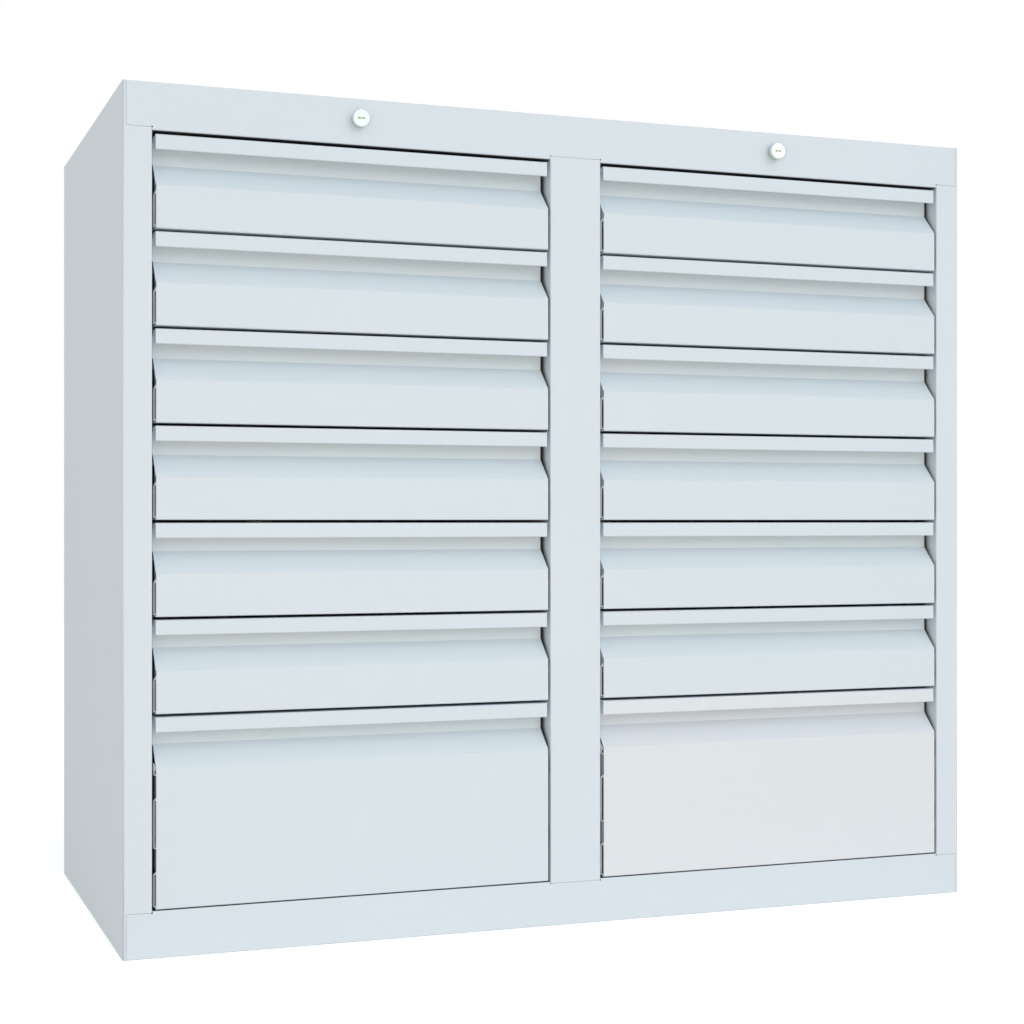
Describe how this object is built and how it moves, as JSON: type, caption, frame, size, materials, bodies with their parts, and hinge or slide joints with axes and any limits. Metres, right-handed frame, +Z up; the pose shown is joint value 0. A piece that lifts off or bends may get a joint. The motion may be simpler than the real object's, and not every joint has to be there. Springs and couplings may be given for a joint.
{
  "type": "microscope slide cabinet",
  "caption": "Free-standing sheet-metal cabinet with two columns of shallow drawers over deep ones, folded finger pulls and a cam lock with a rear locking bar for each column.",
  "frame": {"origin": "on the floor, in the middle of the cabinet's width and of its depth over the lock heads", "axes": "+X to the right, +Y to the rear, +Z up; the drawers open towards -Y"},
  "size_m": [0.9984, 0.51, 0.9],
  "materials": {
    "casing_paint": "pale grey-blue powder coat, satin",
    "front_paint": "pale grey-blue powder coat, satin",
    "tray_paint": "pale grey powder coat, satin",
    "zinc_plated_steel": "bright zinc plate",
    "lock_chrome": "polished, nickel-chrome plated"
  },
  "bodies": {
    "cabinet": {"left_side_panel": "casing_paint", "right_side_panel": "casing_paint", "top_panel": "casing_paint", "bottom_panel": "casing_paint", "back_panel": "casing_paint", "centre_partition": "casing_paint", "runner_uprights": "zinc_plated_steel", "cabinet_runner_channels": "zinc_plated_steel", "left_lock_housing": "lock_chrome", "right_lock_housing": "lock_chrome", "lock_nuts": "zinc_plated_steel", "lock_brackets": "zinc_plated_steel"},
    "left_drawer_one": {"left_drawer_front_one": "front_paint", "left_drawer_tray_one": "tray_paint", "left_drawer_runners_one": "zinc_plated_steel"},
    "left_drawer_two": {"left_drawer_front_two": "front_paint", "left_drawer_tray_two": "tray_paint", "left_drawer_runners_two": "zinc_plated_steel"},
    "left_drawer_three": {"left_drawer_front_three": "front_paint", "left_drawer_tray_three": "tray_paint", "left_drawer_runners_three": "zinc_plated_steel"},
    "left_drawer_four": {"left_drawer_front_four": "front_paint", "left_drawer_tray_four": "tray_paint", "left_drawer_runners_four": "zinc_plated_steel"},
    "left_drawer_five": {"left_drawer_front_five": "front_paint", "left_drawer_tray_five": "tray_paint", "left_drawer_runners_five": "zinc_plated_steel"},
    "left_drawer_six": {"left_drawer_front_six": "front_paint", "left_drawer_tray_six": "tray_paint", "left_drawer_runners_six": "zinc_plated_steel"},
    "left_drawer_seven": {"left_drawer_front_seven": "front_paint", "left_drawer_tray_seven": "tray_paint", "left_drawer_runners_seven": "zinc_plated_steel"},
    "left_lock": {"left_lock_plug": "lock_chrome", "left_drive_rod": "zinc_plated_steel"},
    "left_lock_bar": {"left_locking_bar": "zinc_plated_steel"},
    "right_drawer_one": {"right_drawer_front_one": "front_paint", "right_drawer_tray_one": "tray_paint", "right_drawer_runners_one": "zinc_plated_steel"},
    "right_drawer_two": {"right_drawer_front_two": "front_paint", "right_drawer_tray_two": "tray_paint", "right_drawer_runners_two": "zinc_plated_steel"},
    "right_drawer_three": {"right_drawer_front_three": "front_paint", "right_drawer_tray_three": "tray_paint", "right_drawer_runners_three": "zinc_plated_steel"},
    "right_drawer_four": {"right_drawer_front_four": "front_paint", "right_drawer_tray_four": "tray_paint", "right_drawer_runners_four": "zinc_plated_steel"},
    "right_drawer_five": {"right_drawer_front_five": "front_paint", "right_drawer_tray_five": "tray_paint", "right_drawer_runners_five": "zinc_plated_steel"},
    "right_drawer_six": {"right_drawer_front_six": "front_paint", "right_drawer_tray_six": "tray_paint", "right_drawer_runners_six": "zinc_plated_steel"},
    "right_drawer_seven": {"right_drawer_front_seven": "front_paint", "right_drawer_tray_seven": "tray_paint", "right_drawer_runners_seven": "zinc_plated_steel"},
    "right_lock": {"right_lock_plug": "lock_chrome", "right_drive_rod": "zinc_plated_steel"},
    "right_lock_bar": {"right_locking_bar": "zinc_plated_steel"}
  },
  "joints": [
    {"name": "left_drawer_one_slide", "type": "slide", "parent": "cabinet", "child": "left_drawer_one", "axis": [0, -1, 0], "range_m": [0, 0.35]},
    {"name": "left_drawer_two_slide", "type": "slide", "parent": "cabinet", "child": "left_drawer_two", "axis": [0, -1, 0], "range_m": [0, 0.35]},
    {"name": "left_drawer_three_slide", "type": "slide", "parent": "cabinet", "child": "left_drawer_three", "axis": [0, -1, 0], "range_m": [0, 0.35]},
    {"name": "left_drawer_four_slide", "type": "slide", "parent": "cabinet", "child": "left_drawer_four", "axis": [0, -1, 0], "range_m": [0, 0.35]},
    {"name": "left_drawer_five_slide", "type": "slide", "parent": "cabinet", "child": "left_drawer_five", "axis": [0, -1, 0], "range_m": [0, 0.35]},
    {"name": "left_drawer_six_slide", "type": "slide", "parent": "cabinet", "child": "left_drawer_six", "axis": [0, -1, 0], "range_m": [0, 0.35]},
    {"name": "left_drawer_seven_slide", "type": "slide", "parent": "cabinet", "child": "left_drawer_seven", "axis": [0, -1, 0], "range_m": [0, 0.35]},
    {"name": "left_lock_turn", "type": "hinge", "parent": "cabinet", "child": "left_lock", "pos_m": [-0.24975, -0.245, 0.8775], "axis": [0, 1, 0], "range_deg": [0, 90]},
    {"name": "left_lock_bar_slide", "type": "slide", "parent": "cabinet", "child": "left_lock_bar", "axis": [0, 0, -1], "range_m": [0, 0.01131]},
    {"name": "right_drawer_one_slide", "type": "slide", "parent": "cabinet", "child": "right_drawer_one", "axis": [0, -1, 0], "range_m": [0, 0.35]},
    {"name": "right_drawer_two_slide", "type": "slide", "parent": "cabinet", "child": "right_drawer_two", "axis": [0, -1, 0], "range_m": [0, 0.35]},
    {"name": "right_drawer_three_slide", "type": "slide", "parent": "cabinet", "child": "right_drawer_three", "axis": [0, -1, 0], "range_m": [0, 0.35]},
    {"name": "right_drawer_four_slide", "type": "slide", "parent": "cabinet", "child": "right_drawer_four", "axis": [0, -1, 0], "range_m": [0, 0.35]},
    {"name": "right_drawer_five_slide", "type": "slide", "parent": "cabinet", "child": "right_drawer_five", "axis": [0, -1, 0], "range_m": [0, 0.35]},
    {"name": "right_drawer_six_slide", "type": "slide", "parent": "cabinet", "child": "right_drawer_six", "axis": [0, -1, 0], "range_m": [0, 0.35]},
    {"name": "right_drawer_seven_slide", "type": "slide", "parent": "cabinet", "child": "right_drawer_seven", "axis": [0, -1, 0], "range_m": [0, 0.35]},
    {"name": "right_lock_turn", "type": "hinge", "parent": "cabinet", "child": "right_lock", "pos_m": [0.24975, -0.245, 0.8775], "axis": [0, 1, 0], "range_deg": [0, 90]},
    {"name": "right_lock_bar_slide", "type": "slide", "parent": "cabinet", "child": "right_lock_bar", "axis": [0, 0, -1], "range_m": [0, 0.01131]}
  ],
  "couplings": [
    {"joint": "left_lock_turn", "follows": "left_lock_bar_slide", "rad_per_m": 138.84},
    {"joint": "right_lock_turn", "follows": "right_lock_bar_slide", "rad_per_m": 138.84}
  ]
}
